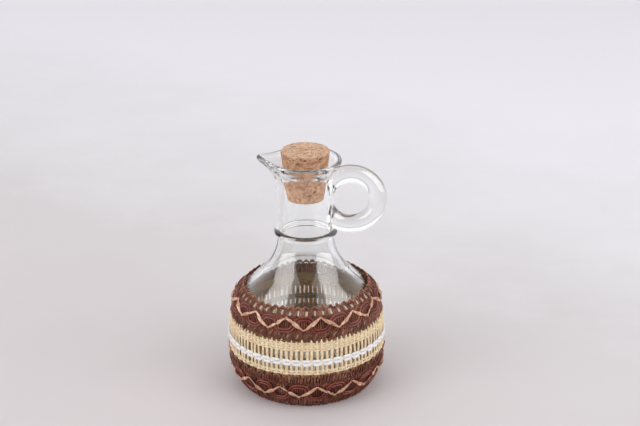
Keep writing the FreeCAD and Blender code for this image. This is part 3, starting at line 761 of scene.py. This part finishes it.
def cork():
    """The tapered cork, with a worn rim, a granular surface and open pits."""
    (_, _, bottom), (_, _, top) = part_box("cork")
    bottom, top = bottom / MM + CORK_SHORTER, top / MM
    # outline of half the cork, from the middle of its foot to the middle of its top
    foot_steps, side_steps, rim_steps, top_steps = 30, 92, 4, 44
    rise = np.linspace(bottom + CORK_WORN, top - CORK_WORN, side_steps)
    side = np.interp(rise, [bottom, CORK_THROAT, top], CORK_RADII)
    foot_radius, top_radius = side[0] - CORK_WORN, side[-1] - CORK_WORN
    bend = np.linspace(0.1, 0.9, rim_steps) * np.pi / 2
    radius = np.concatenate([
        np.linspace(0.0, foot_radius, foot_steps), foot_radius + CORK_WORN * np.sin(bend), side,
        top_radius + CORK_WORN * np.cos(bend), np.linspace(top_radius, 0.0, top_steps)])
    height = np.concatenate([
        np.full(foot_steps, bottom), bottom + CORK_WORN - CORK_WORN * np.cos(bend), rise,
        top - CORK_WORN + CORK_WORN * np.sin(bend), np.full(top_steps, top)])
    rings = len(radius)
    turn = full_turn(CORK_STEPS)[0]
    spot = np.stack([radius[:, None] * np.sin(turn), radius[:, None] * np.cos(turn),
                     np.repeat(height[:, None], CORK_STEPS, 1)], -1).reshape(-1, 3)
    slope = np.arctan2(np.gradient(height), np.gradient(radius))
    out = np.stack([np.sin(slope)[:, None] * np.sin(turn), np.sin(slope)[:, None] * np.cos(turn),
                    np.repeat(-np.cos(slope)[:, None], CORK_STEPS, 1)], -1).reshape(-1, 3)
    steep = np.repeat(np.clip(np.abs(np.sin(slope)), 0, 1), CORK_STEPS)
    # pits, longer across than along the cork
    rng = np.random.default_rng(41)
    pit = np.zeros(len(spot))
    for index in rng.integers(0, len(spot), CORK_PITS):
        size = rng.uniform(0.25, 0.75) * (0.7 + 0.75 * steep[index])
        stretch = np.array([1.0, 1.0, rng.uniform(1.0, 1.9)])
        gap = np.linalg.norm((spot - spot[index]) * stretch, axis=1) / size
        pit = np.maximum(pit, np.clip(1.35 - gap ** 2 * 1.35, 0.0, 1.0) * rng.uniform(0.5, 1.0))
    relief = 0.05 * bumps(spot, 1.1, 42) + 0.06 * bumps(spot, 2.6, 43) - 0.4 * pit
    point = spot + out * relief[:, None]
    index = np.arange(rings * CORK_STEPS).reshape(rings, CORK_STEPS)
    quads = [index[:-1], np.roll(index[:-1], 1, 1), np.roll(index[1:], 1, 1), index[1:]]
    mesh = bpy.data.meshes.new("cork_body")
    mesh.from_pydata((point * MM).tolist(), [], np.stack(quads, -1).reshape(-1, 4).tolist())
    marks = mesh.color_attributes.new("cork_marks", "FLOAT_COLOR", "POINT")
    # green picks the side's darker ramp, partly painted shade
    paint = np.stack([np.clip(pit * 1.3, 0, 1), steep, np.zeros_like(pit), np.ones_like(pit)], -1)
    marks.data.foreach_set("color", paint.astype(np.float32).ravel())
    mesh.polygons.foreach_set("use_smooth", np.ones(len(mesh.polygons), dtype=bool))
    mesh.update()
    finish_piece(mesh, "cork_body", CORK, replaces=("cork",))


repaint("bottle", GLASS)
cork()


# --- floor, light and camera ------------------------------------------------------------------------------
LIT_POINT = Vector((0, 0, 0.06))            # what the lamps face
WORLD_COLOUR = (0.975, 0.975, 1.0, 1.0)
WORLD_STRENGTH = 0.52                       # for what stands outside the glass
CLOTH_STRENGTH = 1.1                        # for threads that are lit through the glass


def floor():
    """A wide sheet of paper under the object."""
    mesh = bpy.data.meshes.new("floor")
    half = 6.0      # metres
    corners = [(-half, -half, 0), (half, -half, 0), (half, half, 0), (-half, half, 0)]
    mesh.from_pydata(corners, [], [(0, 1, 2, 3)])
    mesh.materials.append(floor_material())
    piece = bpy.data.objects.new("floor", mesh)
    bpy.context.scene.collection.objects.link(piece)


def softbox(name, azimuth, elevation, distance, width, height, watts):
    """A large lamp that faces the object, in metres; azimuth counts from the camera's side, towards +X."""
    lamp = bpy.data.lights.new(name, "AREA")
    lamp.shape = "RECTANGLE"
    lamp.size = width
    lamp.size_y = height
    lamp.energy = watts
    azimuth, elevation = math.radians(azimuth), math.radians(elevation)
    away = Vector((math.sin(azimuth) * math.cos(elevation), -math.cos(azimuth) * math.cos(elevation),
                   math.sin(elevation)))
    turn = away.to_track_quat("Z", "Y").to_matrix().to_4x4()
    holder = bpy.data.objects.new(name, lamp)
    holder.matrix_world = Matrix.Translation(LIT_POINT + away * distance) @ turn
    bpy.context.scene.collection.objects.link(holder)
    return holder


def world():
    """An even pale room; glass and mirrors see it lighter, and darker on the camera's side."""
    studio = bpy.data.worlds.new("studio")
    studio.use_nodes = True
    nodes = Nodes(studio.node_tree)
    path = nodes.add("ShaderNodeLightPath").outputs
    toward = nodes.add("ShaderNodeTexCoord").outputs["Generated"]
    axes = nodes.add("ShaderNodeSeparateXYZ", {"Vector": toward}).outputs

    def room(axis, first, last, start, end):
        """Strength along one axis, from start at first to end at last."""
        node = nodes.add("ShaderNodeMapRange", {"Value": axes[axis], "From Min": first, "From Max": last,
                                                "To Min": start, "To Max": end})
        return node.outputs["Result"]

    # what a ray sees that has come through glass: the room, or an even light if it left a thread inside
    shown = nodes.math("MULTIPLY", room("Y", -0.6, 0.1, 0.35, 1.1), room("Z", 0.72, 0.86, 1.0, 0.4))
    from_cloth = nodes.math("MINIMUM", path["Diffuse Depth"], 1.0)
    through = nodes.mix(from_cloth, shown, CLOTH_STRENGTH, "FLOAT")
    mirrored = room("Y", 0.2, 0.9, 0.18, 1.0)
    strength = nodes.mix(path["Is Glossy Ray"], WORLD_STRENGTH, mirrored, "FLOAT")
    strength = nodes.mix(path["Is Transmission Ray"], strength, through, "FLOAT")
    background = nodes.tree.nodes["Background"].inputs
    nodes.put(background["Color"], WORLD_COLOUR)
    nodes.put(background["Strength"], strength)
    bpy.context.scene.world = studio


def camera():
    """The view from a metre away, 26 degrees above the horizon, turned a little off the object's axis."""
    distance, elevation, aim = 1.0064, math.radians(26.12), 0.03016
    yaw, pitch, roll = math.radians(-0.4564), math.radians(3.6226), math.radians(-0.49)
    forward = np.array([0, math.cos(elevation), -math.sin(elevation)])
    right = np.array([1.0, 0, 0])
    up = np.cross(right, forward)
    forward, right = (forward * math.cos(yaw) - right * math.sin(yaw),
                      right * math.cos(yaw) + forward * math.sin(yaw))
    forward, up = (forward * math.cos(pitch) + up * math.sin(pitch),
                   up * math.cos(pitch) - forward * math.sin(pitch))
    right, up = (right * math.cos(roll) + up * math.sin(roll), up * math.cos(roll) - right * math.sin(roll))
    data = bpy.data.cameras.new("camera")
    data.lens = 101.25
    data.sensor_width = 36
    data.clip_start = 0.01
    holder = bpy.data.objects.new("camera", data)
    spot = Vector((0, -distance * math.cos(elevation), distance * math.sin(elevation) + aim))
    turn = Matrix((right, up, -forward)).transposed().to_4x4()
    holder.matrix_world = Matrix.Translation(spot) @ turn
    bpy.context.scene.collection.objects.link(holder)
    bpy.context.scene.camera = holder


floor()
for side in (-1, 1):
    softbox("softbox", side * 58, 38, distance=1.4, width=1.0, height=1.4, watts=5.6)
    # tall lights for the glass to mirror; the stronger ones are hidden from rays that pass through it
    for name, distance, watts, through in (("softbox_mirrored", 1.4, 46, False),
                                           ("softbox_through", 1.45, 26, True)):
        glow = softbox(name, side * 72, 12, distance, width=1.7, height=3.2, watts=watts)
        glow.data.shape = "ELLIPSE"
        glow.visible_diffuse = False
        glow.visible_transmission = through
softbox("softbox_back", 180, 62, distance=1.7, width=2.2, height=0.9, watts=4.6)
world()
camera()
scene = bpy.context.scene
scene.view_settings.view_transform = "Standard"
scene.cycles.max_bounces = 24
scene.cycles.transmission_bounces = 24
scene.cycles.glossy_bounces = 12
